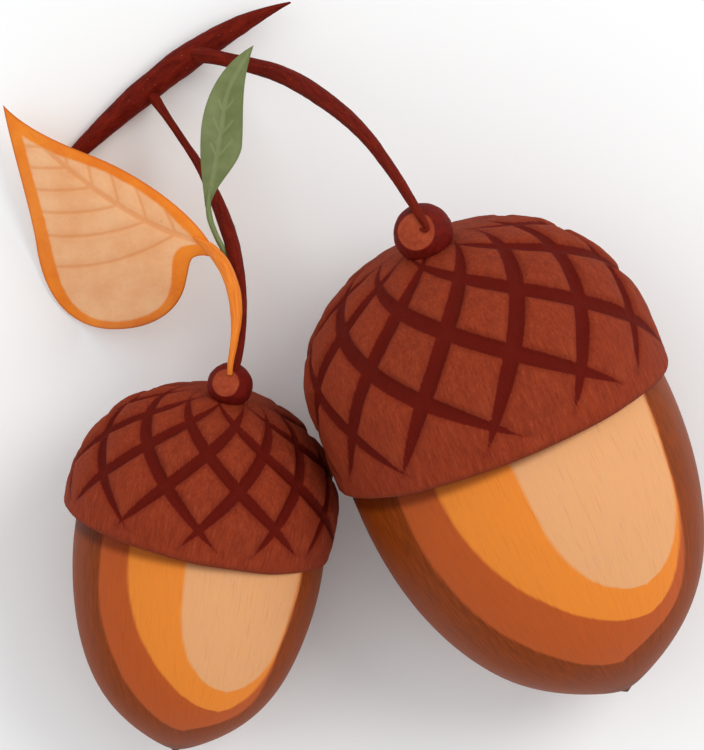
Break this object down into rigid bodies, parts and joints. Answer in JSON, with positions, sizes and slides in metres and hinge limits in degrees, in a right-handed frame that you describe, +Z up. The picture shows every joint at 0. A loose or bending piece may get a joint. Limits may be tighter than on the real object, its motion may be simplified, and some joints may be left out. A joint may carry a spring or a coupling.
{
  "type": "acorn sprig",
  "caption": "Picked oak sprig lying on a surface: a large and a small acorn with scaly diamond-patterned cups on arching stalks, a cut twig, a broad autumn leaf and a slim green leaf.",
  "frame": {"origin": "on the resting surface, under the middle of the whole sprig's outline seen from above", "axes": "+Z up from the surface, +Y from the nuts' tips towards the twig, +X to the larger acorn's side"},
  "size_m": [0.0544, 0.0582, 0.0283],
  "materials": {
    "bark": "dark maroon bark, matt, finely ridged",
    "knob": "dark maroon, matt, with a lighter worn patch",
    "cup": "matt red-brown scales with dark maroon grooves between them",
    "nut": "smooth waxy shell, pale peach through orange and rust to dark brown",
    "autumn_leaf": "dry satin leaf, peach inside an orange edge",
    "green_leaf": "dull satin olive green"
  },
  "bodies": {
    "root": {"twig": "bark", "stalk_large": "bark", "stalk_small": "bark", "knob_large": "knob", "knob_small": "knob", "cup_large": "cup", "cup_small": "cup", "nut_large": "nut", "nut_small": "nut", "leaf_autumn": "autumn_leaf", "leaf_green": "green_leaf"}
  },
  "joints": []
}
